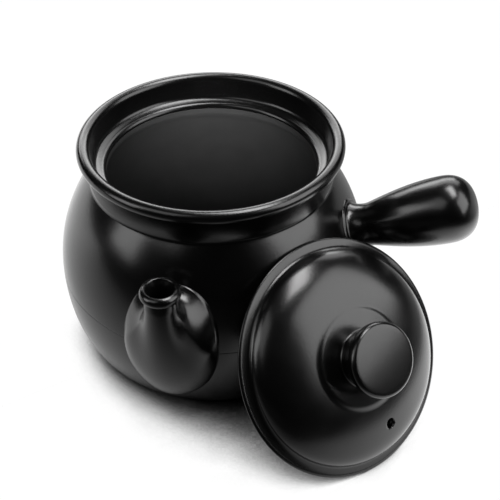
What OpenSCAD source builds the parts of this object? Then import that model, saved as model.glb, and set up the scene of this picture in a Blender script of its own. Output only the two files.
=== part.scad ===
// Clay decoction pot: a bellied pot luted together from two halves, with a pear-shaped spout,
// a hollow stick handle and a loose domed lid, which leans against the belly beside the pot.
// Millimetres, +Z up. The origin is the centre of the base on the table.
// The spout points along -Y and the handle along +X.

/* [Pot] */
// Height from the table to the top of the lip
pot_h = 146.5; // [140:0.5:165]
// Outer diameter of the rounded lip
rim_d = 160; // [156:1:170]
// Outer diameter at the widest girth
belly_d = 192; // [184:1:204]
// Height of the widest girth, where the two halves meet
seam_z = 60; // [54:1:66]
// Diameter of the flat base
base_d = 140; // [120:1:150]
// How far the crease between shoulder and collar lies inside the lip's edge
neck_inset = 6.5; // [5:0.5:9]
// Height of the collar, from the crease to the top of the lip
collar_h = 24; // [22:1:30]
// Thickness of the rounded lip
lip_t = 8; // [6:0.5:10]
// How far the lip stands out past the collar
lip_overhang = 1; // [0.5:0.25:3]
// Wall thickness of the pot
wall = 6; // [4:0.5:8]
// Thickness of the pot's floor
floor_t = 8; // [5:0.5:12]

/* [Lid seat] */
// How much the collar's inside narrows from the lip down to the seat
collar_taper = 1.85; // [0.5:0.05:3]
// Width of the seat's ledge
seat_w = 6.65; // [5:0.05:9]
// Depth of the seat below the top of the lip
seat_drop = 16; // [13:0.5:17]
// Height of the seat's shelf at its inner edge
seat_t = 7; // [5:0.5:9]
// Radius that rounds the seat's inner edge
seat_round = 3; // [1:0.5:4]
// Gap round the lid's flange when it is seated
lid_clearance = 1.4; // [0.5:0.1:2.5]

/* [Lid] */
// Width of the flat flange round the dome
flange_w = 6.5; // [5:0.5:9]
// Thickness of the flange, which has a half-round edge
flange_t = 4; // [3:0.5:5]
// Height of the boss crease above the underside of the flange
dome_h = 21; // [18:1:30]
// Wall thickness of the lid
lid_wall = 5; // [4:0.5:6]
// Diameter of the raised boss under the knob
boss_d = 57; // [50:1:64]
// Height of the raised boss, where the knob stands on it
boss_h = 2; // [1.5:0.5:4]
// Height of the small step round the boss, inside which it slopes up to the knob
boss_step = 0.8; // [0.4:0.1:1]
// Diameter of the steam hole
steam_hole_d = 6.4; // [4:0.2:9]
// Distance of the steam hole from the lid's axis
steam_hole_r = 44; // [38:1:50]
// Turn of the steam hole round the lid's axis, from the lid's lowest point
steam_hole_turn = 7; // [-90:1:90]

/* [Knob] */
// Diameter of the knob's flat top
knob_d = 42; // [36:1:48]
// Diameter of the knob's foot
knob_foot_d = 31; // [26:1:36]
// Height of the knob
knob_h = 20; // [16:1:28]
// Radius that rounds the knob's top edge
knob_round = 2; // [1:0.5:4]

/* [Leaning lid] */
// Angle between the lid's axis and the vertical
lean_angle = 55.5; // [50:0.5:62]
// Direction of the lean, turned from the spout towards the handle
lean_turn = 52; // [48:0.5:56]
// Gap between the lid and the belly that it leans on
lean_gap = 0.5; // [0.3:0.1:1]

/* [Spout] */
// Height of the lower end of the spout's root
spout_root_low = 24; // [18:1:26]
// How far the upper end of the spout's root lies below the crease
spout_root_drop = 19.5; // [18.5:0.5:30]
// Width of the spout's root
spout_root_w = 56; // [50:1:62]
// Exponent of the upper half of the root's outline, which is squarer than an ellipse below 1
spout_root_square = 0.85; // [0.75:0.05:1]
// Width that the spout's bulb is drawn out to
spout_bulb_w = 49; // [44:1:54]
// Width that the bulb is drawn in to below the neck
spout_waist_w = 20; // [18:1:24]
// How far the bulb's shoulder lies below the foot of the neck
spout_shoulder_drop = 32; // [26:1:38]
// How far the waist below the neck lies below the foot of the neck
spout_waist_drop = 20; // [14:1:24]
// How far the saddle behind the neck dips below the upper end of the root
spout_saddle = 6; // [2:1:8]
// Share of its width by which the spout's upper half is pinched in
spout_pinch = 0.25; // [0:0.05:0.35]
// How far the mouth's axis stands out from the widest girth
spout_reach = 11; // [8:0.5:16]
// How far the spout's mouth lies below the top of the lip
spout_mouth_drop = 30; // [22:0.5:32]
// Outer diameter of the spout's neck
spout_neck_d = 18.5; // [16:0.5:22]
// Length of the straight neck below the bead
spout_neck_l = 4; // [2:0.5:8]
// Outer diameter of the bead round the mouth
spout_bead_d = 23; // [21:0.5:28]
// Height of that bead
spout_bead_h = 6.5; // [5:0.5:8]
// Diameter of the mouth's opening
spout_mouth_d = 15; // [12:0.5:16]
// Wall thickness of the spout
spout_wall = 3.5; // [2.5:0.25:4.5]
// How far the spout's front bulges past its mouth's axis
spout_bulge = 12; // [8:1:20]

/* [Strainer] */
// Diameter of the strainer holes in the wall behind the spout
strainer_hole_d = 5; // [3:0.5:6]
// Radius of the ring of strainer holes
strainer_ring_r = 12; // [9:1:13]
// Number of holes in the ring
strainer_ring_n = 6; // [5:1:8]
// How far the strainer's middle lies below the widest girth
strainer_drop = 18; // [17:0.5:20]

/* [Handle] */
// How far below the crease the handle's axis leaves the shoulder
handle_drop = 28; // [24:0.5:34]
// Length of the handle along its axis
handle_len = 75; // [65:1:100]
// Diameter of the handle at its thickest
handle_d = 40; // [34:1:44]
// Diameter of the handle at its waist, next to the pot
handle_waist_d = 26; // [22:1:30]
// Diameter of the flare where the handle meets the pot
handle_root_d = 33; // [31:1:36]
// Distance of the waist from the pot
handle_waist_at = 10; // [8:1:14]
// Distance of the thickest place from the handle's end
handle_end_l = 19; // [14:1:24]
// Upward slope of the handle
handle_slope = 23; // [10:1:28]
// Wall thickness of the hollow handle
handle_wall = 5; // [4:0.5:6]

/* [Hidden] */
$fn = 96;

glaze = [0.07, 0.07, 0.075];
curve_steps = 20;
lip_steps = 14;
round_steps = 6;

// Clearance between pieces luted onto a curved wall and that wall
lute_gap = 0.1;

rim_r = rim_d / 2;
belly_r = belly_d / 2;
base_r = base_d / 2;
neck_r = rim_r - neck_inset;
neck_z = pot_h - collar_h;
lip_r = lip_t / 2;
seat_r = rim_r - lip_t - collar_taper;
seat_z = pot_h - seat_drop;
mouth_r = seat_r - seat_w;
lid_r = seat_r - lid_clearance;

// Height that the shoulder's curve would need to reach the pot's axis
shoulder_rise = (neck_z - seam_z) / sqrt(1 - pow(neck_r / belly_r, 2));

// Radius of the outside of the pot at a height
function lower_r(z) = base_r + (belly_r - base_r) * sqrt(max(0, 1 - pow((seam_z - z) / seam_z, 2)));
function shoulder_r(z) = belly_r * sqrt(max(0, 1 - pow((z - seam_z) / shoulder_rise, 2)));
function pot_r(z) = z < seam_z ? lower_r(max(0, z)) : z < neck_z ? shoulder_r(z) : rim_r;

// Points of an elliptical arc about a centre
function arc(centre, rx, ry, from, to, steps) =
    [for (i = [0:steps]) let (a = from + (to - from) * i / steps)
        [centre[0] + rx * cos(a), centre[1] + ry * sin(a)]];

// Point of a cubic curve with four control values, which may be numbers or vectors
function cubic(p, t) =
    pow(1 - t, 3) * p[0] + 3 * t * pow(1 - t, 2) * p[1] + 3 * t * t * (1 - t) * p[2] + pow(t, 3) * p[3];

// Power of a number's size that keeps its sign
function signed_pow(x, e) = sign(x) * pow(abs(x), e);

// Angle on the shoulder's curve at a height
function shoulder_angle(z, rise) = asin((z - seam_z) / rise);

// Outline of the lower half, outside and then inside
function lower_profile() = concat(
    [[0, 0]],
    arc([base_r, seam_z], belly_r - base_r, seam_z, -90, 0, curve_steps),
    arc([base_r, seam_z], belly_r - wall - base_r, seam_z - floor_t, 0, -90, curve_steps),
    [[0, floor_t]]);

// Start of the lip's round where the collar runs into it
lip_start = -acos((lip_r - lip_overhang) / lip_r);
// Height where the underside of the seat's shelf runs into the shoulder's inside
shelf_foot_z = seat_z - 2 * seat_t;

// Outline of the upper half: shoulder, collar, lip, seat and the inside of the shoulder
function upper_profile() = concat(
    arc([0, seam_z], belly_r, shoulder_rise, 0, shoulder_angle(neck_z, shoulder_rise), curve_steps),
    arc([rim_r - lip_r, pot_h - lip_r], lip_r, lip_r, lip_start, 180, lip_steps),
    [[seat_r, seat_z]],
    arc([mouth_r + seat_round, seat_z - seat_round], seat_round, seat_round, 90, 180, round_steps),
    [[mouth_r, seat_z - seat_t]],
    arc([0, seam_z], belly_r - wall, shoulder_rise - wall,
        shoulder_angle(shelf_foot_z, shoulder_rise - wall), 0, curve_steps));

// Outline of the pot's outside up to the crease, filled and grown by a gap, for trimming the handle
function pot_fill(gap) = concat(
    [[0, 0]],
    arc([base_r, seam_z], belly_r - base_r + gap, seam_z, -90, 0, curve_steps),
    arc([0, seam_z], belly_r + gap, shoulder_rise + gap,
        0, shoulder_angle(neck_z, shoulder_rise), curve_steps),
    [[0, neck_z]]);

// Lower half, with the strainer's holes through the wall behind the spout
strainer_z = seam_z - strainer_drop;
module lower_bowl() {
    color(glaze) difference() {
        rotate_extrude() polygon(lower_profile());
        for (hole = concat([[0, 0]], [for (i = [0:strainer_ring_n - 1])
                strainer_ring_r * [cos(360 * i / strainer_ring_n), sin(360 * i / strainer_ring_n)]]))
            translate([hole[0], -base_r / 2, strainer_z + hole[1]])
                rotate([90, 0, 0]) cylinder(d = strainer_hole_d, h = belly_r);
    }
}

module upper_body() {
    color(glaze) rotate_extrude() polygon(upper_profile());
}

// Spout: rings of points from the root to the mouth, round the bead and back down the inside.
// In the spout's plane of symmetry, x is the distance from the pot's axis and y the height.
spout_sides = 40;
spout_rings = 18;
bead_steps = 8;
spout_axis_r = belly_r + spout_reach;
spout_neck_r = spout_neck_d / 2;
bead_r = spout_bead_h / 2;
// Angle where the bead's round leaves the neck
bead_start = -60;
spout_root_high = neck_z - spout_root_drop;
spout_mouth_z = pot_h - spout_mouth_drop;
neck_top_z = spout_mouth_z - spout_bead_h;
neck_foot_z = neck_top_z - spout_neck_l;
spout_middle_z = (spout_root_low + spout_root_high) / 2;
spout_back_r = spout_axis_r - spout_neck_r;
// Control points of the spout's front, back and side, and control values of half its width
spout_front = [
    [pot_r(spout_root_low), spout_root_low],
    [spout_axis_r, spout_root_low],
    [spout_axis_r + spout_bulge, (spout_root_low + neck_foot_z) / 2],
    [spout_axis_r + spout_neck_r, neck_foot_z]];
spout_back = [
    [pot_r(spout_root_high), spout_root_high],
    [(2 * pot_r(spout_root_high) + spout_back_r) / 3, spout_root_high - spout_saddle / 2],
    [spout_back_r, spout_root_high - spout_saddle],
    [spout_back_r, neck_foot_z]];
spout_side = [
    [pot_r(spout_middle_z), spout_middle_z],
    [spout_axis_r, neck_foot_z - spout_shoulder_drop],
    [spout_axis_r, neck_foot_z - spout_waist_drop],
    [spout_axis_r, neck_foot_z]];
spout_half_w = [spout_root_w / 2, spout_bulb_w / 2, spout_waist_w / 2, spout_neck_r];

// The point at a distance from one point towards another
function towards(from, to, distance) = from + (to - from) * distance / norm(to - from);

// A ring at a share t of the way up the spout, drawn in by an inset, and kept clear of the belly:
// it runs through the front, the two sides and the back, and its upper half is squared and pinched
function spout_ring(t, inset) =
    let (side = cubic(spout_side, t), half_w = cubic(spout_half_w, t) - inset)
    let (front = towards(cubic(spout_front, t), side, inset))
    let (back = towards(cubic(spout_back, t), side, inset))
    let (along = (back - front) / 2, bow = (back + front) / 2 - side, pinch = 4 * spout_pinch * t * (1 - t))
    [for (i = [0:spout_sides - 1]) let (a = 360 * i / spout_sides)
        let (square = sin(a) > 0 ? spout_root_square + (1 - spout_root_square) * t : 1)
        let (s = signed_pow(sin(a), square))
        let (x = half_w * signed_pow(cos(a), square) * (1 - pinch * max(0, s)))
        let (p = side + along * s + bow * s * s, r = pot_r(p[1]) + lute_gap)
        [x, -max(t == 0 ? 0 : p[0], sqrt(max(0, r * r - x * x))), p[1]]];

// A level ring about the mouth's axis
function mouth_ring(r, z) =
    [for (i = [0:spout_sides - 1]) let (a = 360 * i / spout_sides)
        [r * cos(a), -spout_axis_r + r * sin(a), z]];

// Bead round the mouth: a half round outside, and a smaller round into the opening
bead_outline = concat(
    arc([spout_bead_d / 2 - bead_r, spout_mouth_z - bead_r], bead_r, bead_r, bead_start, 90, bead_steps),
    [[spout_mouth_d / 2, spout_mouth_z - bead_r / 2]]);

spout_loop = concat(
    [for (i = [0:spout_rings]) spout_ring(i / spout_rings, 0)],
    [mouth_ring(spout_neck_r, neck_top_z)],
    [for (p = bead_outline) mouth_ring(p[0], p[1])],
    [mouth_ring(spout_neck_r - spout_wall, neck_top_z)],
    [for (i = [0:spout_rings]) spout_ring(1 - i / spout_rings, spout_wall)]);

// A closed skin over a loop of rings
module ring_loop(rings) {
    n = len(rings);
    k = len(rings[0]);
    points = [for (ring = rings) each ring];
    faces = [for (j = [0:n - 1], i = [0:k - 1])
        let (a = j * k + i, b = j * k + (i + 1) % k)
        let (c = (j + 1) % n * k + (i + 1) % k, d = (j + 1) % n * k + i)
        each [[a, c, b], [a, d, c]]];
    polyhedron(points, faces);
}

module spout() {
    color(glaze) ring_loop(spout_loop);
}

// Handle: outline of half its section, with x along the radius and y along the axis from the pot
handle_z = neck_z - handle_drop;
handle_thick_at = handle_len - handle_end_l;
// Length of the handle that is cut away to fit the shoulder
handle_sink = 12;
// Exponent of the handle's end, which is blunter than an ellipse below 1
handle_blunt = 0.8;
function handle_profile(inset) =
    let (end_l = handle_end_l - inset, end_r = handle_d / 2 - inset)
    concat(
        [[0, -handle_sink], [handle_root_d / 2 - inset, -handle_sink]],
        arc([handle_root_d / 2 - inset, handle_waist_at], (handle_root_d - handle_waist_d) / 2,
            handle_waist_at, 270, 180, round_steps),
        [for (i = [1:curve_steps]) let (t = i / curve_steps)
            [handle_waist_d / 2 - inset + (handle_d - handle_waist_d) / 2 * sin(90 * t),
             handle_waist_at + (handle_thick_at - handle_waist_at) * t]],
        [for (i = [1:curve_steps]) let (a = 90 * i / curve_steps)
            [end_r * pow(cos(a), handle_blunt), handle_thick_at + end_l * pow(sin(a), handle_blunt)]]);

module handle() {
    color(glaze) difference() {
        translate([pot_r(handle_z), 0, handle_z]) rotate([0, 90 - handle_slope, 0]) difference() {
            rotate_extrude() polygon(handle_profile(0));
            rotate_extrude() polygon(handle_profile(handle_wall));
        }
        rotate_extrude() polygon(pot_fill(lute_gap));
    }
}

// Lid, drawn about its own axis with the underside of its flange at z = 0
boss_r = boss_d / 2;
dome_r = lid_r - flange_w;
edge_r = flange_t / 2;
boss_top = dome_h + boss_h;
// Height that the dome's curve would reach on the axis, above the flange
dome_rise = (dome_h - flange_t) / sqrt(1 - pow(boss_r / dome_r, 2));
function dome_angle(r, base) = acos(r / base);
function lid_profile() = concat(
    arc([lid_r - edge_r, edge_r], edge_r, edge_r, -90, 90, round_steps),
    arc([0, flange_t], dome_r, dome_rise, 0, dome_angle(boss_r, dome_r), curve_steps),
    [[boss_r - boss_step, dome_h + boss_step], [knob_foot_d / 2, boss_top], [0, boss_top]],
    arc([0, 0], dome_r - lid_wall, boss_top - lid_wall, 90, 0, curve_steps));

// Foot and top of the knob, which stands on the boss
function knob_profile() = concat(
    [[0, 0]],
    [for (i = [0:curve_steps]) let (t = i / curve_steps)
        [knob_foot_d / 2 + (knob_d - knob_foot_d) / 2 * (1 - cos(90 * t)), (knob_h - 2 * knob_round) * t]],
    arc([knob_d / 2 - knob_round, knob_h - knob_round], knob_round, knob_round, 0, 90, round_steps),
    [[0, knob_h]]);

// Height of the leaning lid's frame: its flange's edge stands on the table
lean_z = (lid_r - edge_r) * sin(lean_angle) - edge_r * cos(lean_angle) + edge_r;
// Distance of the leaning lid's frame from the pot's axis: every point of the lid clears the belly
lean_r = max([for (p = lid_profile(), a = [0:4:180])
    let (x = p[0] * cos(a) * cos(lean_angle) + p[1] * sin(lean_angle))
    let (z = lean_z - p[0] * cos(a) * sin(lean_angle) + p[1] * cos(lean_angle))
    let (r = pot_r(z) + lean_gap, y = p[0] * sin(a))
    sqrt(max(0, r * r - y * y)) - x]);

// Sets a lid piece down where the lid leans
module leaning() {
    rotate([0, 0, lean_turn - 90]) translate([lean_r, 0, lean_z]) rotate([0, lean_angle, 0]) children();
}

module lid() {
    color(glaze) leaning() difference() {
        rotate_extrude() polygon(lid_profile());
        rotate([0, 0, steam_hole_turn]) translate([steam_hole_r, 0, 0])
            cylinder(d = steam_hole_d, h = 2 * dome_h);
    }
}

module lid_knob() {
    color(glaze) leaning() translate([0, 0, boss_top]) rotate_extrude() polygon(knob_profile());
}

lower_bowl();
upper_body();
spout();
handle();
lid();
lid_knob();
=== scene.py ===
"""Looks of a clay decoction pot with a spout, a stick handle and a loose lid.

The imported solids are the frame. Each of them is replaced by a smooth turned or lofted piece of
the same size, in a satin black glaze, and the scene gets a floor, studio lamps and a camera.
"""

import logging
import math
from dataclasses import dataclass, field
from enum import Enum
from typing import TypeVar

import bmesh
import bpy
from mathutils import Matrix, Vector


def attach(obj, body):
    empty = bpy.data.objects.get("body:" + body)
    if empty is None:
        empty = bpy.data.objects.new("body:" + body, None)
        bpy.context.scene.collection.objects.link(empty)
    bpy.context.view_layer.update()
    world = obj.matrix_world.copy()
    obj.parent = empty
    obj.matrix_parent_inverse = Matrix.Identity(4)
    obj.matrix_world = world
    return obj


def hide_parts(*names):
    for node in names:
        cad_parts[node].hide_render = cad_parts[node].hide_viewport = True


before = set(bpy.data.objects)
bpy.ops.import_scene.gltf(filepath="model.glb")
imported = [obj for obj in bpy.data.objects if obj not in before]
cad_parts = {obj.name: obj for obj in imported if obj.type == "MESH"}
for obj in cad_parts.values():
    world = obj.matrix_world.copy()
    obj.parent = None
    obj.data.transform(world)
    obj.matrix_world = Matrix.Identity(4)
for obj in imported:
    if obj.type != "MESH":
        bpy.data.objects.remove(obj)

LOG = logging.getLogger("decoction_pot")
MM = 0.001
SHARP_ANGLE = 40.0
# Points closer than this many metres are one point, and are told apart by this many digits
MERGE_M = 1e-6
DIGITS = 7
# Steps along a long curve, a plain curve, a small round and a tight round
LONG_CURVE = 56
CURVE = 40
ROUND = 14
TIGHT_ROUND = 10
Point = tuple[float, float]
Value = TypeVar("Value", float, Vector)


class Body(Enum):
    """The rigid bodies that the pieces ride on."""

    POT = "pot"
    LID = "lid"


class Slot(Enum):
    """The record's material slots."""

    GLAZE = "black_glaze"


# Sizes

@dataclass(frozen=True)
class PotSizes:
    """Sizes of the pot's two halves in millimetres, as the solids have them."""

    pot_h: float = 146.5
    rim_d: float = 160.0
    belly_d: float = 192.0
    seam_z: float = 60.0
    base_d: float = 140.0
    neck_inset: float = 6.5
    collar_h: float = 24.0
    lip_t: float = 8.0
    lip_overhang: float = 1.0
    wall: float = 6.0
    floor_t: float = 8.0
    collar_taper: float = 1.85
    seat_w: float = 6.65
    seat_drop: float = 16.0
    seat_t: float = 7.0
    seat_round: float = 3.0
    lid_clearance: float = 1.4

    @property
    def rim_r(self) -> float:
        """Outer radius of the lip."""
        return self.rim_d / 2

    @property
    def belly_r(self) -> float:
        """Outer radius at the widest girth."""
        return self.belly_d / 2

    @property
    def base_r(self) -> float:
        """Radius of the flat base."""
        return self.base_d / 2

    @property
    def neck_r(self) -> float:
        """Radius of the crease between shoulder and collar."""
        return self.rim_r - self.neck_inset

    @property
    def neck_z(self) -> float:
        """Height of that crease."""
        return self.pot_h - self.collar_h

    @property
    def seat_r(self) -> float:
        """Radius of the collar's inside at the seat."""
        return self.rim_r - self.lip_t - self.collar_taper

    @property
    def seat_z(self) -> float:
        """Height of the seat."""
        return self.pot_h - self.seat_drop

    @property
    def mouth_r(self) -> float:
        """Radius of the opening inside the seat."""
        return self.seat_r - self.seat_w

    @property
    def lid_r(self) -> float:
        """Radius of the lid's flange."""
        return self.seat_r - self.lid_clearance

    @property
    def shoulder_rise(self) -> float:
        """Height that the shoulder's curve would need to reach the pot's axis."""
        return (self.neck_z - self.seam_z) / math.sqrt(1 - (self.neck_r / self.belly_r) ** 2)

    def outer_r(self, z: float) -> float:
        """Gives the radius of the pot's outside at a height.

        Args:
            z: Height above the table.

        Returns:
            The radius in millimetres.
        """
        if z < self.seam_z:
            drop = (self.seam_z - max(z, 0.0)) / self.seam_z
            return self.base_r + (self.belly_r - self.base_r) * math.sqrt(1 - drop * drop)
        climb = min((z - self.seam_z) / self.shoulder_rise, 1.0)
        return self.belly_r * math.sqrt(1 - climb * climb)


# Outlines

@dataclass
class Outline:
    """Half-section of a turned piece, drawn point by point in millimetres from the axis outwards."""

    points: list[Point] = field(default_factory=list)
    softened: dict[int, float] = field(default_factory=dict)

    def to(self, x: float, z: float, soft: float = 0.0) -> "Outline":
        """Adds a point.

        Args:
            x: Distance from the axis.
            z: Height.
            soft: How far along both sides the corner at this point is rounded.

        Returns:
            The outline itself.
        """
        if soft:
            self.softened[len(self.points)] = soft
        self.points.append((x, z))
        return self

    def arc(self, centre: Point, radii: Point, start: float, end: float, steps: int,
            soft: Point = (0.0, 0.0)) -> "Outline":
        """Adds an elliptical arc.

        Args:
            centre: Middle of the ellipse.
            radii: Its half-axes across and up.
            start: First angle in degrees.
            end: Last angle in degrees.
            steps: Number of steps along the arc.
            soft: How far the corners at the arc's two ends are rounded.

        Returns:
            The outline itself.
        """
        for step in range(steps + 1):
            angle = math.radians(start + (end - start) * step / steps)
            reach = soft[0] if step == 0 else soft[1] if step == steps else 0.0
            self.to(centre[0] + radii[0] * math.cos(angle), centre[1] + radii[1] * math.sin(angle), reach)
        return self

    def drawn(self, steps: int = 8) -> list[Point]:
        """Rounds the soft corners.

        Args:
            steps: Number of steps along each rounded corner.

        Returns:
            The points of the finished outline.
        """
        lengths = [0.0]
        for here, there in zip(self.points, self.points[1:]):
            lengths.append(lengths[-1] + math.dist(here, there))

        def at(length: float) -> Point:
            """Finds the point at a length along the outline.

            Args:
                length: Distance from the outline's start.

            Returns:
                The point.
            """
            for i in range(len(lengths) - 1):
                if lengths[i + 1] >= length and lengths[i + 1] > lengths[i]:
                    share = (length - lengths[i]) / (lengths[i + 1] - lengths[i])
                    (x0, z0), (x1, z1) = self.points[i], self.points[i + 1]
                    return x0 + (x1 - x0) * share, z0 + (z1 - z0) * share
            return self.points[-1]

        spans = [(lengths[i] - reach, lengths[i] + reach) for i, reach in self.softened.items()]
        made: list[Point] = []
        for i, point in enumerate(self.points):
            if i in self.softened:
                reach = self.softened[i]
                first, last = at(lengths[i] - reach), at(lengths[i] + reach)
                for step in range(steps + 1):
                    t = step / steps
                    a, b, c = (1 - t) ** 2, 2 * t * (1 - t), t * t
                    made.append(tuple(a * first[k] + b * point[k] + c * last[k] for k in (0, 1)))
            elif not any(low <= lengths[i] <= high for low, high in spans):
                made.append(point)
        return made


# Modelling

def turned(name: str, outline: list[Point], steps: int) -> bpy.types.Object:
    """Turns a piece about Z: a point is extruded along the outline, which is then spun.

    Args:
        name: Name of the piece.
        outline: Half-section in millimetres, which starts and ends on the axis or at one point.
        steps: Number of steps round the axis.

    Returns:
        The new object, in object mode.
    """
    bpy.ops.object.select_all(action="DESELECT")
    bpy.ops.mesh.primitive_plane_add(size=MM, location=(0, 0, 0))
    piece = bpy.context.object
    piece.name = name
    piece.data.name = name
    bpy.ops.object.mode_set(mode="EDIT")
    bpy.ops.mesh.select_all(action="SELECT")
    bpy.ops.mesh.merge(type="CENTER")
    bpy.ops.transform.translate(value=(outline[0][0] * MM, 0, outline[0][1] * MM))
    for (x0, z0), (x1, z1) in zip(outline, outline[1:]):
        move = ((x1 - x0) * MM, 0, (z1 - z0) * MM)
        bpy.ops.mesh.extrude_vertices_move(TRANSFORM_OT_translate={"value": move})
    bpy.ops.mesh.select_all(action="SELECT")
    bpy.ops.mesh.spin(steps=steps, angle=math.tau, center=(0, 0, 0), axis=(0, 0, 1))
    close_skin()
    return piece


def lofted(name: str, rings: list[list[Vector]]) -> bpy.types.Object:
    """Lofts a piece: a circle is laid on the first ring and extruded from ring to ring.

    Args:
        name: Name of the piece.
        rings: Rings of points in millimetres, the last of which is the first again.

    Returns:
        The new object, in object mode.
    """
    bpy.ops.object.select_all(action="DESELECT")
    bpy.ops.mesh.primitive_circle_add(vertices=len(rings[0]), radius=MM, location=(0, 0, 0))
    piece = bpy.context.object
    piece.name = name
    piece.data.name = name
    bpy.ops.object.mode_set(mode="EDIT")
    bpy.ops.mesh.select_all(action="SELECT")
    mesh = bmesh.from_edit_mesh(piece.data)
    order = list(mesh.verts)
    for vert, point in zip(order, rings[0]):
        vert.co = point * MM
    for ring in rings[1:]:
        places = {tuple(round(c, DIGITS) for c in vert.co): i for i, vert in enumerate(order)}
        bpy.ops.mesh.extrude_edges_move(TRANSFORM_OT_translate={"value": (0, 0, 0)})
        mesh = bmesh.from_edit_mesh(piece.data)
        fresh = [vert for vert in mesh.verts if vert.select]
        order = [None] * len(fresh)
        for vert in fresh:
            order[places[tuple(round(c, DIGITS) for c in vert.co)]] = vert
        for vert, point in zip(order, ring):
            vert.co = point * MM
    bmesh.update_edit_mesh(piece.data)
    close_skin()
    return piece


def close_skin() -> None:
    """Merges the doubles of the mesh in edit mode, turns its faces outwards and smooths it."""
    bpy.ops.mesh.select_all(action="SELECT")
    bpy.ops.mesh.remove_doubles(threshold=MERGE_M)
    bpy.ops.mesh.normals_make_consistent(inside=False)
    bpy.ops.object.mode_set(mode="OBJECT")
    bpy.ops.object.shade_smooth_by_angle(angle=math.radians(SHARP_ANGLE))


def set_down(piece: bpy.types.Object, place: Matrix) -> None:
    """Moves a piece to its place and puts that place into its mesh.

    Args:
        piece: The piece.
        place: Where it goes, in metres.
    """
    bpy.ops.object.select_all(action="DESELECT")
    piece.select_set(True)
    bpy.context.view_layer.objects.active = piece
    piece.matrix_world = place
    bpy.ops.object.transform_apply(location=True, rotation=True, scale=True)


def drilled(piece: bpy.types.Object, drill: bpy.types.Object) -> None:
    """Cuts one piece out of another and deletes the cutter.

    Args:
        piece: The piece that is cut.
        drill: The cutter.
    """
    bpy.ops.object.select_all(action="DESELECT")
    piece.select_set(True)
    bpy.context.view_layer.objects.active = piece
    bpy.ops.object.modifier_add(type="BOOLEAN")
    cut = piece.modifiers[-1]
    cut.operation = "DIFFERENCE"
    cut.solver = "EXACT"
    cut.object = drill
    bpy.ops.object.modifier_apply(modifier=cut.name)
    bpy.data.objects.remove(drill)


def rod(name: str, radius: float, length: float, steps: int, place: Matrix) -> bpy.types.Object:
    """Makes a round cutter that starts at the origin and runs up Z before it is placed.

    Args:
        name: Name of the cutter.
        radius: Its radius in millimetres.
        length: Its length in millimetres.
        steps: Number of steps round it.
        place: Where it goes, in metres.

    Returns:
        The cutter.
    """
    outline = Outline().to(0, 0).to(radius, 0).to(radius, length).to(0, length)
    cutter = turned(name, outline.drawn(), steps)
    set_down(cutter, place)
    return cutter


# Finishes

def linear(code: str) -> tuple[float, float, float, float]:
    """Turns an sRGB hex colour to linear light.

    Args:
        code: Six hex digits after a hash.

    Returns:
        Red, green, blue and alpha.
    """
    parts = [int(code[i:i + 2], 16) / 255 for i in (1, 3, 5)]
    return (*(c / 12.92 if c <= 0.04045 else ((c + 0.055) / 1.055) ** 2.4 for c in parts), 1.0)


def add_node(tree: bpy.types.NodeTree, kind: str, settings: dict[str | int, object] | None = None,
             links: dict[str | int, bpy.types.NodeSocket] | None = None) -> bpy.types.Node:
    """Adds a node with its settings and links.

    Args:
        tree: The node tree.
        kind: Type name of the node.
        settings: Attributes of the node, or values of its sockets by name or number.
        links: Output sockets by the name or number of the input socket that they feed.

    Returns:
        The node.
    """
    node = tree.nodes.new(kind)
    for key, value in (settings or {}).items():
        if isinstance(key, str) and hasattr(node, key):
            setattr(node, key, value)
        else:
            node.inputs[key].default_value = value
    for key, socket in (links or {}).items():
        tree.links.new(socket, node.inputs[key])
    return node


def blank_material(name: str) -> tuple[bpy.types.Material, bpy.types.NodeTree]:
    """Makes a material with an empty node tree.

    Args:
        name: Name of the material.

    Returns:
        The material and its node tree.
    """
    material = bpy.data.materials.new(name)
    material.use_nodes = True
    material.node_tree.nodes.clear()
    return material, material.node_tree


@dataclass(frozen=True)
class SatinGlaze:
    """Satin black glaze, fired on clay: dark, with soft highlights and a fine orange-peel grain."""

    name: str = "satin_black_glaze"
    dark: str = "#030303"
    light: str = "#070707"
    ior: float = 1.5
    smooth: float = 0.2
    dull: float = 0.26
    grain_mm: float = 1.4
    cloud_mm: float = 26.0
    speck_mm: float = 0.6
    grain_depth_mm: float = 0.03

    def material(self) -> bpy.types.Material:
        """Builds the glaze's nodes: specks in its colour, clouds in its gloss and a grain in its skin.

        Returns:
            The material.
        """
        material, tree = blank_material(self.name)
        place = add_node(tree, "ShaderNodeTexCoord").outputs["Object"]
        cloud = add_node(tree, "ShaderNodeTexNoise",
                         {"Scale": 1 / (self.cloud_mm * MM), "Detail": 3.0, "Roughness": 0.5},
                         {"Vector": place})
        speck = add_node(tree, "ShaderNodeTexNoise",
                         {"Scale": 1 / (self.speck_mm * MM), "Detail": 1.0}, {"Vector": place})
        grain = add_node(tree, "ShaderNodeTexNoise",
                         {"Scale": 1 / (self.grain_mm * MM), "Detail": 2.0, "Roughness": 0.6},
                         {"Vector": place})
        tint = add_node(tree, "ShaderNodeMix",
                        {"data_type": "RGBA", 6: linear(self.dark), 7: linear(self.light)},
                        {0: speck.outputs["Fac"]})
        gloss = add_node(tree, "ShaderNodeMapRange",
                         {"From Min": 0.3, "From Max": 0.7, "To Min": self.smooth, "To Max": self.dull},
                         {"Value": cloud.outputs["Fac"]})
        bump = add_node(tree, "ShaderNodeBump",
                        {"Strength": 1.0, "Distance": self.grain_depth_mm * MM},
                        {"Height": grain.outputs["Fac"]})
        shader = add_node(tree, "ShaderNodeBsdfPrincipled", {"IOR": self.ior},
                          {"Base Color": tint.outputs[2], "Roughness": gloss.outputs["Result"],
                           "Normal": bump.outputs["Normal"]})
        add_node(tree, "ShaderNodeOutputMaterial", links={"Surface": shader.outputs["BSDF"]})
        return material


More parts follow.
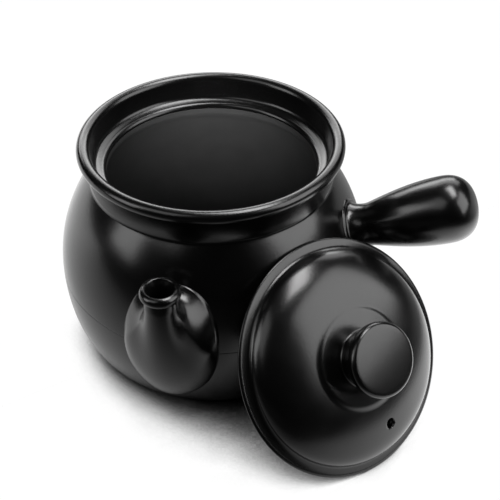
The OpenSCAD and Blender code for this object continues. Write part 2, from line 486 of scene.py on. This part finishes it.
@dataclass(frozen=True)
class MatteLiner:
    """The same glaze inside the pot, matte and a little greyer: the grey is painted light inside the pot.
    """

    name: str = "matte_liner_painted_lit"
    # Painted light: greys lighter than the outer glaze, so that the inside shows lit
    dark: str = "#222222"
    light: str = "#2A2A2A"
    roughness: float = 0.75
    sheen: float = 0.2
    cloud_mm: float = 12.0

    def material(self) -> bpy.types.Material:
        """Builds the liner's nodes: two close greys in soft clouds, with little sheen.

        Returns:
            The material.
        """
        material, tree = blank_material(self.name)
        place = add_node(tree, "ShaderNodeTexCoord").outputs["Object"]
        cloud = add_node(tree, "ShaderNodeTexNoise",
                         {"Scale": 1 / (self.cloud_mm * MM), "Detail": 4.0}, {"Vector": place})
        tint = add_node(tree, "ShaderNodeMix",
                        {"data_type": "RGBA", 6: linear(self.dark), 7: linear(self.light)},
                        {0: cloud.outputs["Fac"]})
        shader = add_node(tree, "ShaderNodeBsdfPrincipled",
                          {"Roughness": self.roughness, "Specular IOR Level": self.sheen},
                          {"Base Color": tint.outputs[2]})
        add_node(tree, "ShaderNodeOutputMaterial", links={"Surface": shader.outputs["BSDF"]})
        return material


@dataclass(frozen=True)
class BareClay:
    """Fired clay without glaze, under the base: brown, dull and sandy."""

    name: str = "bare_fired_clay"
    dark: str = "#4A3527"
    light: str = "#7A5A43"
    roughness: float = 0.9
    sand_mm: float = 0.8
    sand_depth_mm: float = 0.15

    def material(self) -> bpy.types.Material:
        """Builds the clay's nodes: sand in its colour and in its skin.

        Returns:
            The material.
        """
        material, tree = blank_material(self.name)
        place = add_node(tree, "ShaderNodeTexCoord").outputs["Object"]
        sand = add_node(tree, "ShaderNodeTexNoise",
                        {"Scale": 1 / (self.sand_mm * MM), "Detail": 4.0}, {"Vector": place})
        tint = add_node(tree, "ShaderNodeMix",
                        {"data_type": "RGBA", 6: linear(self.dark), 7: linear(self.light)},
                        {0: sand.outputs["Fac"]})
        bump = add_node(tree, "ShaderNodeBump",
                        {"Strength": 1.0, "Distance": self.sand_depth_mm * MM},
                        {"Height": sand.outputs["Fac"]})
        shader = add_node(tree, "ShaderNodeBsdfPrincipled", {"Roughness": self.roughness},
                          {"Base Color": tint.outputs[2], "Normal": bump.outputs["Normal"]})
        add_node(tree, "ShaderNodeOutputMaterial", links={"Surface": shader.outputs["BSDF"]})
        return material


def dressed(piece: bpy.types.Object, material: bpy.types.Material, body: Body, node: str) -> None:
    """Gives a piece its material and its body, and hides the solid that it stands for.

    Args:
        piece: The piece.
        material: Its material.
        body: The body that it rides on.
        node: The solid that it replaces.
    """
    piece.data.materials.append(material)
    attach(piece, body.value)
    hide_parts(node)
    LOG.info("%s stands for %s: %d faces", piece.name, node, len(piece.data.polygons))


# Pot

@dataclass
class PotBody:
    """The two halves of the pot, which meet at the girth seam."""

    sizes: PotSizes
    steps: int = 192
    seam_soft: float = 0.35
    foot_w: float = 11.0
    foot_recess: float = 1.2
    foot_soft: float = 1.0
    bare_h: float = 1.3
    bare_slope: float = 0.5
    crease_soft: float = 1.4
    collar_hollow: float = 1.2
    collar_steps: int = 8
    under_lip_soft: float = 0.5
    seat_soft: float = 2.0
    seat_fall: float = 1.3
    shelf_soft: float = 2.0
    shelf_foot_soft: float = 3.0
    strainer_hole_d: float = 5.0
    strainer_ring_r: float = 12.0
    strainer_ring_n: int = 6
    strainer_drop: float = 18.0
    strainer_steps: int = 24

    def build_lower(self) -> bpy.types.Object:
        """Turns the lower half and drills the strainer's holes.

        Returns:
            The lower half.
        """
        s = self.sizes
        recess_r = s.base_r - self.foot_w
        swell = s.belly_r - s.base_r
        outline = Outline().to(0, self.foot_recess).to(recess_r, self.foot_recess, self.foot_soft)
        outline.to(recess_r + self.foot_recess, 0, self.foot_soft)
        outline.arc((s.base_r, s.seam_z), (swell, s.seam_z), -90, 0, LONG_CURVE, (0, self.seam_soft))
        outline.arc((s.base_r, s.seam_z), (swell - s.wall, s.seam_z - s.floor_t), 0, -90, CURVE)
        outline.to(0, s.floor_t)
        bowl = turned("lower_bowl_glazed", outline.drawn(), self.steps)
        holes = [(0.0, 0.0)]
        for i in range(self.strainer_ring_n):
            angle = math.tau * i / self.strainer_ring_n
            holes.append((self.strainer_ring_r * math.cos(angle), self.strainer_ring_r * math.sin(angle)))
        for x, z in holes:
            place = Matrix.Translation(Vector((x, -s.base_r / 2, s.seam_z - self.strainer_drop + z)) * MM)
            place = place @ Matrix.Rotation(math.radians(90), 4, "X")
            drill = rod("strainer_drill", self.strainer_hole_d / 2, s.belly_r, self.strainer_steps, place)
            drilled(bowl, drill)
        return bowl

    def build_upper(self) -> bpy.types.Object:
        """Turns the upper half: shoulder, collar, lip, seat and inside.

        Returns:
            The upper half.
        """
        s = self.sizes
        lip_r = s.lip_t / 2
        lip_start = -math.degrees(math.acos((lip_r - s.lip_overhang) / lip_r))
        lip_foot = (s.rim_r - lip_r + lip_r * math.cos(math.radians(lip_start)),
                    s.pot_h - lip_r + lip_r * math.sin(math.radians(lip_start)))
        crease_angle = math.degrees(math.asin((s.neck_z - s.seam_z) / s.shoulder_rise))
        inner_rise = s.shoulder_rise - s.wall
        shelf_foot_z = s.seat_z - 2 * s.seat_t
        shelf_angle = math.degrees(math.asin((shelf_foot_z - s.seam_z) / inner_rise))
        outline = Outline().to(s.belly_r - s.wall, s.seam_z)
        outline.arc((0, s.seam_z), (s.belly_r, s.shoulder_rise), 0, crease_angle, LONG_CURVE,
                    (self.seam_soft, self.crease_soft))
        for i in range(1, self.collar_steps):
            t = i / self.collar_steps
            sag = 4 * t * (1 - t) * self.collar_hollow
            outline.to(s.neck_r + (lip_foot[0] - s.neck_r) * t - sag,
                       s.neck_z + (lip_foot[1] - s.neck_z) * t)
        outline.arc((s.rim_r - lip_r, s.pot_h - lip_r), (lip_r, lip_r), lip_start, 180, CURVE,
                    (self.under_lip_soft, 0))
        outline.to(s.seat_r, s.seat_z + self.seat_fall, self.seat_soft)
        outline.arc((s.mouth_r + s.seat_round, s.seat_z - s.seat_round), (s.seat_round, s.seat_round),
                    90, 180, ROUND)
        outline.to(s.mouth_r, s.seat_z - s.seat_t, self.shelf_soft)
        outline.arc((0, s.seam_z), (s.belly_r - s.wall, inner_rise), shelf_angle, 0, CURVE,
                    (self.shelf_foot_soft, 0))
        return turned("upper_body_glazed", outline.drawn(), self.steps)

    def dress(self, glaze: bpy.types.Material, liner: bpy.types.Material, clay: bpy.types.Material) -> None:
        """Builds both halves, glazes them, lines their inside and leaves the base bare.

        Args:
            glaze: The glaze.
            liner: The matte glaze of the inside, painted lighter so that the inside shows lit.
            clay: The bare clay of the base.
        """
        s = self.sizes
        lower = self.build_lower()
        upper = self.build_upper()
        for piece, node in ((lower, "lower_bowl"), (upper, "upper_body")):
            dressed(piece, glaze, Body.POT, node)
            piece.data.materials.append(liner)
            piece.data.materials.append(clay)
            for face in piece.data.polygons:
                r = math.hypot(face.center.x, face.center.y) / MM
                z = face.center.z / MM
                # Inside faces get the liner, whose lighter grey is painted light
                inside = r < s.outer_r(z) - s.wall / 2
                if inside and s.floor_t / 2 < z < s.seat_z - s.seat_round:
                    face.material_index = 1
                elif z < self.bare_h and face.normal.z < -self.bare_slope:
                    face.material_index = 2


# Spout

def cubic(p: list[Value], t: float) -> Value:
    """Gives the point of a cubic curve with four control values at a share t of its length."""
    return (1 - t) ** 3 * p[0] + 3 * t * (1 - t) ** 2 * p[1] + 3 * t * t * (1 - t) * p[2] + t ** 3 * p[3]


def soft_max(a: float, b: float, width: float) -> float:
    """Gives the larger of two values, with a round change between them of the given width."""
    near = max(width - abs(a - b), 0.0) / width
    return max(a, b) + near * near * width / 4


def signed_power(x: float, exponent: float) -> float:
    """Raises a number's size to a power and keeps its sign."""
    return math.copysign(abs(x) ** exponent, x)


@dataclass
class Spout:
    """The pear-shaped spout, luted onto the belly, with a bead round its mouth."""

    sizes: PotSizes
    root_low: float = 24.0
    root_drop: float = 19.5
    root_w: float = 56.0
    root_square: float = 0.85
    bulb_w: float = 49.0
    waist_w: float = 20.0
    shoulder_drop: float = 32.0
    waist_drop: float = 20.0
    saddle: float = 6.0
    pinch: float = 0.25
    reach: float = 11.0
    mouth_drop: float = 30.0
    neck_d: float = 18.5
    neck_l: float = 4.0
    bead_d: float = 23.0
    bead_h: float = 6.5
    bead_start: float = -60.0
    under_bead_soft: float = 0.8
    crest_soft: float = 0.6
    mouth_soft: float = 1.0
    mouth_d: float = 15.0
    wall: float = 3.5
    bulge: float = 12.0
    sides: int = 96
    steps: int = 54
    lute_w: float = 2.4
    sunk: float = 0.25

    @property
    def axis_r(self) -> float:
        """Distance of the mouth's axis from the pot's axis."""
        return self.sizes.belly_r + self.reach

    @property
    def mouth_z(self) -> float:
        """Height of the mouth."""
        return self.sizes.pot_h - self.mouth_drop

    @property
    def neck_top(self) -> float:
        """Height where the neck runs into the bead."""
        return self.mouth_z - self.bead_h

    @property
    def neck_foot(self) -> float:
        """Height where the bulb runs into the neck."""
        return self.neck_top - self.neck_l

    def body_ring(self, t: float, inset: float) -> list[Vector]:
        """Gives a ring through the front, sides and back, drawn in to the belly where it would enter it.

        Args:
            t: Share of the way from the root to the neck.
            inset: How far the ring lies inside the outer skin.

        Returns:
            Points in millimetres.
        """
        s = self.sizes
        high = s.neck_z - self.root_drop
        mid = (self.root_low + high) / 2
        foot = self.neck_foot
        neck_r = self.neck_d / 2
        back_r = self.axis_r - neck_r
        side = cubic([Vector((s.outer_r(mid), mid)),
                      Vector((self.axis_r, foot - self.shoulder_drop)),
                      Vector((self.axis_r, foot - self.waist_drop)),
                      Vector((self.axis_r, foot))], t)
        front = cubic([Vector((s.outer_r(self.root_low), self.root_low)),
                       Vector((self.axis_r, self.root_low)),
                       Vector((self.axis_r + self.bulge, (self.root_low + foot) / 2)),
                       Vector((self.axis_r + neck_r, foot))], t)
        back = cubic([Vector((s.outer_r(high), high)),
                      Vector(((2 * s.outer_r(high) + back_r) / 3, high - self.saddle / 2)),
                      Vector((back_r, high - self.saddle)),
                      Vector((back_r, foot))], t)
        front += (side - front).normalized() * inset
        back += (side - back).normalized() * inset
        half_w = cubic([self.root_w / 2, self.bulb_w / 2, self.waist_w / 2, neck_r], t) - inset
        along = (back - front) / 2
        bow = (back + front) / 2 - side
        ring = []
        for i in range(self.sides):
            angle = math.tau * i / self.sides
            square = self.root_square + (1 - self.root_square) * t if math.sin(angle) > 0 else 1.0
            share = signed_power(math.sin(angle), square)
            p = side + along * share + bow * share * share
            pinched = 1 - 4 * self.pinch * t * (1 - t) * max(share, 0.0)
            x = half_w * signed_power(math.cos(angle), square) * pinched
            belly = math.sqrt(max(s.outer_r(p.y) ** 2 - x * x, 0.0)) - self.sunk
            out = belly if t == 0 else soft_max(p.x, belly, self.lute_w)
            ring.append(Vector((x, -out, p.y)))
        return ring

    def mouth_ring(self, radius: float, z: float) -> list[Vector]:
        """Gives a level ring about the mouth's axis.

        Args:
            radius: Its radius.
            z: Its height.

        Returns:
            Points in millimetres.
        """
        ring = []
        for i in range(self.sides):
            angle = math.tau * i / self.sides
            ring.append(Vector((radius * math.cos(angle), -self.axis_r + radius * math.sin(angle), z)))
        return ring

    def build(self) -> bpy.types.Object:
        """Lofts the spout from its root up to the bead and back down the inside.

        Returns:
            The spout.
        """
        neck_r = self.neck_d / 2
        bead_r = self.bead_h / 2
        bead = Outline().to(neck_r, self.neck_top, self.mouth_soft)
        bead.arc((self.bead_d / 2 - bead_r, self.mouth_z - bead_r), (bead_r, bead_r), self.bead_start, 90,
                 ROUND, (self.under_bead_soft, self.crest_soft))
        bead.to(self.mouth_d / 2, self.mouth_z - bead_r / 2, self.mouth_soft)
        bead.to(neck_r - self.wall, self.neck_top)
        rings = [self.body_ring(i / self.steps, 0) for i in range(self.steps + 1)]
        rings += [self.mouth_ring(r, z) for r, z in bead.drawn()]
        rings += [self.body_ring(1 - i / self.steps, self.wall) for i in range(self.steps + 1)]
        rings.append(rings[0])
        return lofted("spout_glazed", rings)

    def dress(self, glaze: bpy.types.Material) -> None:
        """Builds the spout and glazes it.

        Args:
            glaze: The glaze.
        """
        dressed(self.build(), glaze, Body.POT, "spout")


# Handle

@dataclass
class Handle:
    """The stick handle, luted onto the shoulder with a small flare."""

    sizes: PotSizes
    drop: float = 28.0
    length: float = 75.0
    thick_d: float = 40.0
    waist_d: float = 26.0
    root_d: float = 33.0
    waist_at: float = 10.0
    end_l: float = 19.0
    slope: float = 23.0
    blunt: float = 0.8
    sunk: float = 5.0
    steps: int = 128
    root_steps: int = 13
    flare_steps: int = 32
    grip_steps: int = 36
    waist_soft: float = 2.0
    lute_r: float = 1.6

    def build(self) -> bpy.types.Object:
        """Turns the handle, sets it on the shoulder and flares its foot onto the wall.

        Returns:
            The handle.
        """
        thick_at = self.length - self.end_l
        outline = Outline().to(0, -self.sunk).to(self.root_d / 2, -self.sunk)
        for i in range(1, self.root_steps):
            outline.to(self.root_d / 2, -self.sunk + self.sunk * i / self.root_steps)
        outline.arc((self.root_d / 2, self.waist_at), ((self.root_d - self.waist_d) / 2, self.waist_at),
                    270, 180, self.flare_steps, (0, self.waist_soft))
        for i in range(1, self.grip_steps + 1):
            t = i / self.grip_steps
            outline.to(self.waist_d / 2 + (self.thick_d - self.waist_d) / 2 * math.sin(math.pi / 2 * t),
                       self.waist_at + (thick_at - self.waist_at) * t)
        for i in range(1, self.grip_steps):
            a = math.pi / 2 * i / self.grip_steps
            outline.to(self.thick_d / 2 * math.cos(a) ** self.blunt,
                       thick_at + self.end_l * math.sin(a) ** self.blunt)
        outline.to(0, self.length)
        handle = turned("handle_glazed", outline.drawn(), self.steps)
        s = self.sizes
        z = s.neck_z - self.drop
        place = Matrix.Translation(Vector((s.outer_r(z), 0, z)) * MM)
        place = place @ Matrix.Rotation(math.radians(90 - self.slope), 4, "Y")
        set_down(handle, place)
        axis = place.to_3x3() @ Vector((0, 0, 1))
        foot = place.translation
        core_r = self.waist_d / 4 * MM
        # The skin near the wall moves out from the handle's axis along a quarter round
        for vert in handle.data.vertices:
            out = math.hypot(vert.co.x, vert.co.y) / MM - s.outer_r(vert.co.z / MM)
            away = (vert.co - foot) - axis * (vert.co - foot).dot(axis)
            if out < self.lute_r and away.length > core_r:
                depth = min(self.lute_r - out, self.lute_r)
                flare = self.lute_r - math.sqrt(self.lute_r ** 2 - depth ** 2)
                vert.co += away.normalized() * flare * MM
        return handle

    def dress(self, glaze: bpy.types.Material) -> None:
        """Builds the handle and glazes it.

        Args:
            glaze: The glaze.
        """
        dressed(self.build(), glaze, Body.POT, "handle")


# Lid

@dataclass
class Lid:
    """The loose domed lid with its knob, which leans against the belly."""

    sizes: PotSizes
    flange_w: float = 6.5
    flange_t: float = 4.0
    dome_h: float = 21.0
    wall: float = 5.0
    boss_d: float = 57.0
    boss_h: float = 2.0
    boss_step: float = 0.8
    boss_soft: float = 1.2
    dome_full: float = 3.0
    dome_soft: float = 2.4
    hollow_from: float = 89.0
    hollow_soft: float = 1.2
    edge_top: float = 0.8
    edge_from: float = 9.0
    steam_hole_d: float = 6.4
    steam_hole_r: float = 44.0
    steam_hole_turn: float = 7.0
    steam_hole_steps: int = 48
    knob_d: float = 42.0
    knob_foot_d: float = 31.0
    knob_h: float = 20.0
    knob_round: float = 2.5
    knob_crown: float = 0.7
    knob_lute: float = 1.5
    knob_lute_h: float = 0.05
    lute_soft: float = 1.0
    knob_edge_to: float = 80.0
    knob_steps: int = 32
    crown_steps: int = 12
    lean_angle: float = 55.5
    lean_turn: float = 52.0
    lean_gap: float = 0.5
    lean_steps: int = 90
    steps: int = 192

    @property
    def edge_r(self) -> float:
        """Radius of the flange's half-round edge."""
        return self.flange_t / 2

    @property
    def boss_top(self) -> float:
        """Height of the boss above the underside of the flange."""
        return self.dome_h + self.boss_h

    def outline(self) -> Outline:
        """Draws the lid's half-section about its own axis: hollow, flange, dome and boss.

        Returns:
            The outline, from the hollow's middle to the boss's middle.
        """
        lid_r = self.sizes.lid_r
        dome_r = lid_r - self.flange_w
        boss_r = self.boss_d / 2
        foot = boss_r + self.boss_soft
        dome_rise = (self.dome_h - self.flange_t) / math.sqrt(1 - (boss_r / dome_r) ** self.dome_full)
        boss_angle = math.acos((foot / dome_r) ** (self.dome_full / 2))
        outline = Outline().to(0, self.boss_top - self.wall)
        outline.arc((0, 0), (dome_r - self.wall, self.boss_top - self.wall), self.hollow_from, 0, CURVE,
                    (0, self.hollow_soft))
        edge = (lid_r - self.edge_r, self.edge_r)
        outline.arc(edge, (self.edge_r, self.edge_r), -90, 0, TIGHT_ROUND)
        outline.arc(edge, (self.edge_r, self.edge_top), self.edge_from, 90, TIGHT_ROUND)
        for i in range(LONG_CURVE + 1):
            angle = boss_angle * i / LONG_CURVE
            soft = self.dome_soft if i == 0 else self.boss_soft if i == LONG_CURVE else 0.0
            outline.to(dome_r * math.cos(angle) ** (2 / self.dome_full),
                       self.flange_t + dome_rise * math.sin(angle), soft)
        outline.to(boss_r - self.boss_soft, self.dome_h + self.boss_step, self.boss_soft)
        outline.to(self.knob_foot_d / 2 + self.knob_lute, self.boss_top, self.lute_soft)
        return outline.to(0, self.boss_top)

    def place(self) -> Matrix:
        """Works out where the lid leans: its edge on the table and its flange against the belly.

        Returns:
            The lid's place, in metres.
        """
        s = self.sizes
        lean = math.radians(self.lean_angle)
        z0 = (s.lid_r - self.edge_r) * math.sin(lean) - self.edge_r * math.cos(lean) + self.edge_r
        r0 = 0.0
        for x, z in self.outline().drawn():
            for step in range(self.lean_steps + 1):
                a = math.radians(180 * step / self.lean_steps)
                out = x * math.cos(a) * math.cos(lean) + z * math.sin(lean)
                up = z0 - x * math.cos(a) * math.sin(lean) + z * math.cos(lean)
                side = x * math.sin(a)
                reach = s.outer_r(up) + self.lean_gap
                r0 = max(r0, math.sqrt(max(reach * reach - side * side, 0.0)) - out)
        place = Matrix.Rotation(math.radians(self.lean_turn - 90), 4, "Z")
        place = place @ Matrix.Translation(Vector((r0, 0, z0)) * MM)
        return place @ Matrix.Rotation(lean, 4, "Y")

    def build_lid(self) -> bpy.types.Object:
        """Turns the lid and drills its steam hole.

        Returns:
            The lid, about its own axis.
        """
        lid = turned("lid_glazed", self.outline().drawn(), self.steps)
        turn = math.radians(self.steam_hole_turn)
        hole = Vector((self.steam_hole_r * math.cos(turn), self.steam_hole_r * math.sin(turn), 0)) * MM
        drill = rod("steam_drill", self.steam_hole_d / 2, 2 * self.dome_h, self.steam_hole_steps,
                    Matrix.Translation(hole))
        drilled(lid, drill)
        return lid

    def build_knob(self) -> bpy.types.Object:
        """Turns the knob, with a fillet at its foot and a slightly crowned top.

        Returns:
            The knob, standing on the lid's boss.
        """
        foot_r = self.knob_foot_d / 2
        edge_r = self.knob_d / 2 - self.knob_round
        edge_z = self.knob_h - self.knob_crown - self.knob_round
        rise = edge_z - self.knob_round
        swell = self.knob_d / 2 - foot_r
        outline = Outline().to(0, 0).to(foot_r + self.knob_lute, 0)
        outline.to(foot_r, self.knob_lute_h, self.knob_lute)
        for i in range(1, self.knob_steps + 1):
            t = i / self.knob_steps
            outline.to(foot_r + swell * (1 - math.cos(math.pi / 2 * t)), rise * t)
        outline.arc((edge_r, edge_z), (self.knob_round, self.knob_round), 0, self.knob_edge_to, ROUND)
        top_r = outline.points[-1][0]
        for i in range(1, self.crown_steps + 1):
            share = 1 - i / self.crown_steps
            outline.to(top_r * share, self.knob_h - self.knob_crown * share * share)
        knob = turned("lid_knob_glazed", outline.drawn(), self.steps)
        set_down(knob, Matrix.Translation(Vector((0, 0, self.boss_top)) * MM))
        return knob

    def dress(self, glaze: bpy.types.Material) -> None:
        """Builds the lid and its knob, leans them against the belly and glazes them.

        Args:
            glaze: The glaze.
        """
        place = self.place()
        for piece, node in ((self.build_lid(), "lid"), (self.build_knob(), "lid_knob")):
            set_down(piece, place)
            dressed(piece, glaze, Body.LID, node)


# Studio

@dataclass(frozen=True)
class PaleFloor:
    """A plain white sweep under the pot, with a soft shadow where the pot stands near.

    It shows white to the camera. In the glaze it shows a painted reflection: a glow that is dim in front,
    brighter behind, and brightest in a painted light patch beside the lid. Places on it are in metres,
    across and away from the camera.
    """

    heading: float
    name: str = "white_sweep"
    colour: str = "#141414"
    shade_mm: float = 110.0
    shade_samples: int = 16
    dark_below: float = 0.2
    white_above: float = 0.55
    shade_power: float = 3.0
    # Painted reflection: how bright the floor glows in the glaze in front, behind, to the right and in the
    # painted light patch beside the lid
    front_at: float = -0.28
    front_level: float = 0.04
    back_at: float = 0.16
    back_level: float = 1.5
    left_at: float = -0.1
    right_at: float = 0.15
    right_share: float = 0.3
    spot_at: Point = (0.25, -0.08)
    spot_inner: float = 0.03
    spot_outer: float = 0.25
    spot_level: float = 2.4

    def material(self) -> bpy.types.Material:
        """Builds the floor's nodes: lit by the lamps, and lifted to white where the pot isn't near.

        Returns:
            The material.
        """
        material, tree = blank_material(self.name)
        path = add_node(tree, "ShaderNodeLightPath")
        place = add_node(tree, "ShaderNodeTexCoord").outputs["Object"]
        turn = math.radians(self.heading)
        away = add_node(tree, "ShaderNodeVectorMath",
                        {"operation": "DOT_PRODUCT", 1: (-math.sin(turn), math.cos(turn), 0.0)},
                        {0: place})
        # Painted light: the floor's glow in the glaze, brighter than white behind and beside the lid
        mirrored = add_node(tree, "ShaderNodeMapRange",
                            {"From Min": self.front_at, "From Max": self.back_at,
                             "To Min": self.front_level, "To Max": self.back_level},
                            {"Value": away.outputs["Value"]})
        across = add_node(tree, "ShaderNodeVectorMath",
                          {"operation": "DOT_PRODUCT", 1: (math.cos(turn), math.sin(turn), 0.0)},
                          {0: place})
        right = add_node(tree, "ShaderNodeMapRange",
                         {"From Min": self.left_at, "From Max": self.right_at,
                          "To Min": 1.0, "To Max": self.right_share},
                         {"Value": across.outputs["Value"]})
        spot_at = Matrix.Rotation(turn, 3, "Z") @ Vector((*self.spot_at, 0.0))
        apart = add_node(tree, "ShaderNodeVectorMath", {"operation": "DISTANCE", 1: spot_at}, {0: place})
        spot = add_node(tree, "ShaderNodeMapRange",
                        {"From Min": self.spot_inner, "From Max": self.spot_outer,
                         "To Min": self.spot_level, "To Max": 0.0},
                        {"Value": apart.outputs["Value"]})
        mirrored = add_node(tree, "ShaderNodeMath", {"operation": "MULTIPLY_ADD"},
                            {0: mirrored.outputs["Result"], 1: right.outputs["Result"],
                             2: spot.outputs["Result"]})
        painted_reflection = add_node(tree, "ShaderNodeMath", {"operation": "MULTIPLY"},
                         {0: path.outputs["Is Glossy Ray"], 1: mirrored.outputs[0]})
        seen = add_node(tree, "ShaderNodeMath", {"operation": "MAXIMUM"},
                        {0: path.outputs["Is Camera Ray"], 1: painted_reflection.outputs[0]})
        seen = add_node(tree, "ShaderNodeMath", {"operation": "MAXIMUM"},
                        {0: seen.outputs[0], 1: path.outputs["Is Transmission Ray"]})
        near = add_node(tree, "ShaderNodeAmbientOcclusion",
                        {"Distance": self.shade_mm * MM, "samples": self.shade_samples})
        open_sky = add_node(tree, "ShaderNodeMapRange",
                            {"From Min": self.dark_below, "From Max": self.white_above},
                            {"Value": near.outputs["AO"]})
        shade = add_node(tree, "ShaderNodeMath", {"operation": "POWER", 1: self.shade_power},
                         {0: open_sky.outputs["Result"]})
        lift = add_node(tree, "ShaderNodeMath", {"operation": "MULTIPLY"},
                        {0: shade.outputs[0], 1: seen.outputs[0]})
        lit = add_node(tree, "ShaderNodeBsdfDiffuse", {"Color": linear(self.colour)})
        glow = add_node(tree, "ShaderNodeEmission", {}, {"Strength": lift.outputs[0]})
        both = add_node(tree, "ShaderNodeAddShader", {}, {0: lit.outputs[0], 1: glow.outputs[0]})
        add_node(tree, "ShaderNodeOutputMaterial", links={"Surface": both.outputs[0]})
        return material


@dataclass(frozen=True)
class Softbox:
    """A soft rectangular lamp that is aimed at a point of the pot.

    A lamp that isn't mirrored lights the clay without showing in the glaze. The spread is the width of
    its beam in degrees.
    """

    name: str
    azimuth: float
    elevation: float
    distance: float
    width: float
    height: float
    power: float
    aim: tuple[float, float, float] = (0.0, 0.0, 0.09)
    mirrored: bool = True
    spread: float = 180.0

    def place(self, heading: float) -> None:
        """Adds the lamp.

        Args:
            heading: Turn of the camera's heading about Z in degrees; azimuths count from it.
        """
        light = bpy.data.lights.new(self.name, "AREA")
        light.shape = "RECTANGLE"
        light.size = self.width
        light.size_y = self.height
        light.energy = self.power
        light.spread = math.radians(self.spread)
        lamp = bpy.data.objects.new(self.name, light)
        bpy.context.scene.collection.objects.link(lamp)
        turn = math.radians(self.azimuth + heading)
        climb = math.radians(self.elevation)
        away = Vector((math.cos(turn) * math.cos(climb), math.sin(turn) * math.cos(climb), math.sin(climb)))
        lamp.location = Vector(self.aim) + away * self.distance
        lamp.rotation_euler = (-away).to_track_quat("-Z", "Y").to_euler()
        lamp.visible_glossy = self.mirrored


@dataclass
class Studio:
    """Floor, lamps, world and camera."""

    heading: float = 13.5
    camera_at: tuple[float, float, float] = (0.02321, -0.5299, 0.48165)
    pitch: float = 38.52
    focal_px: float = 1050.0
    frame_px: float = 500.0
    sensor_mm: float = 36.0
    floor_m: float = 80.0
    floor_drop_mm: float = 0.3
    world: str = "#0C0C0C"
    lamps: tuple[Softbox, ...] = (
        Softbox("top_softbox", 28, 76, 1.5, 1.05, 0.5, 21),
        Softbox("right_softbox", 346, 32, 1.6, 1.25, 1.2, 18),
        Softbox("left_softbox", 198, 26, 1.6, 0.66, 0.85, 6.0),
        Softbox("front_left_fill", 222, 48, 1.6, 0.9, 0.85, 3.4),
        Softbox("back_strip", 99, 25, 1.6, 1.9, 0.45, 12),
        Softbox("back_wall", 82, 38, 1.6, 1.7, 0.7, 10),
        Softbox("mouth_fill", 270, 0, 0.06, 0.05, 0.03, 0.075, (0.0, 0.0, 0.115), False, 64),
    )

    def build(self) -> None:
        """Adds the floor, the lamps, the world and the camera."""
        bpy.ops.object.select_all(action="DESELECT")
        bpy.ops.mesh.primitive_plane_add(size=self.floor_m, location=(0, 0, -self.floor_drop_mm * MM))
        floor = bpy.context.object
        floor.name = "floor"
        floor.data.materials.append(PaleFloor(self.heading).material())
        for lamp in self.lamps:
            lamp.place(self.heading)
        world = bpy.data.worlds.new("studio_dark")
        world.use_nodes = True
        tree = world.node_tree
        tree.nodes.clear()
        dim = add_node(tree, "ShaderNodeBackground", {"Color": linear(self.world), "Strength": 1.0})
        add_node(tree, "ShaderNodeOutputWorld", links={"Surface": dim.outputs[0]})
        bpy.context.scene.world = world
        lens = bpy.data.cameras.new("camera")
        lens.sensor_width = self.sensor_mm
        lens.lens = self.focal_px / self.frame_px * self.sensor_mm
        camera = bpy.data.objects.new("camera", lens)
        bpy.context.scene.collection.objects.link(camera)
        camera.location = Matrix.Rotation(math.radians(self.heading), 3, "Z") @ Vector(self.camera_at)
        camera.rotation_euler = (math.radians(90 - self.pitch), 0, math.radians(self.heading))
        bpy.context.scene.camera = camera
        bpy.context.scene.view_settings.view_transform = "Standard"


def main() -> None:
    """Builds the pieces and the studio."""
    logging.basicConfig(level=logging.INFO, format="%(name)s: %(message)s")
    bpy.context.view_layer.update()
    sizes = PotSizes()
    glaze = SatinGlaze().material()
    PotBody(sizes).dress(glaze, MatteLiner().material(), BareClay().material())
    Spout(sizes).dress(glaze)
    Handle(sizes).dress(glaze)
    Lid(sizes).dress(glaze)
    Studio().build()
    bpy.context.view_layer.update()


if __name__ == "__main__":
    main()
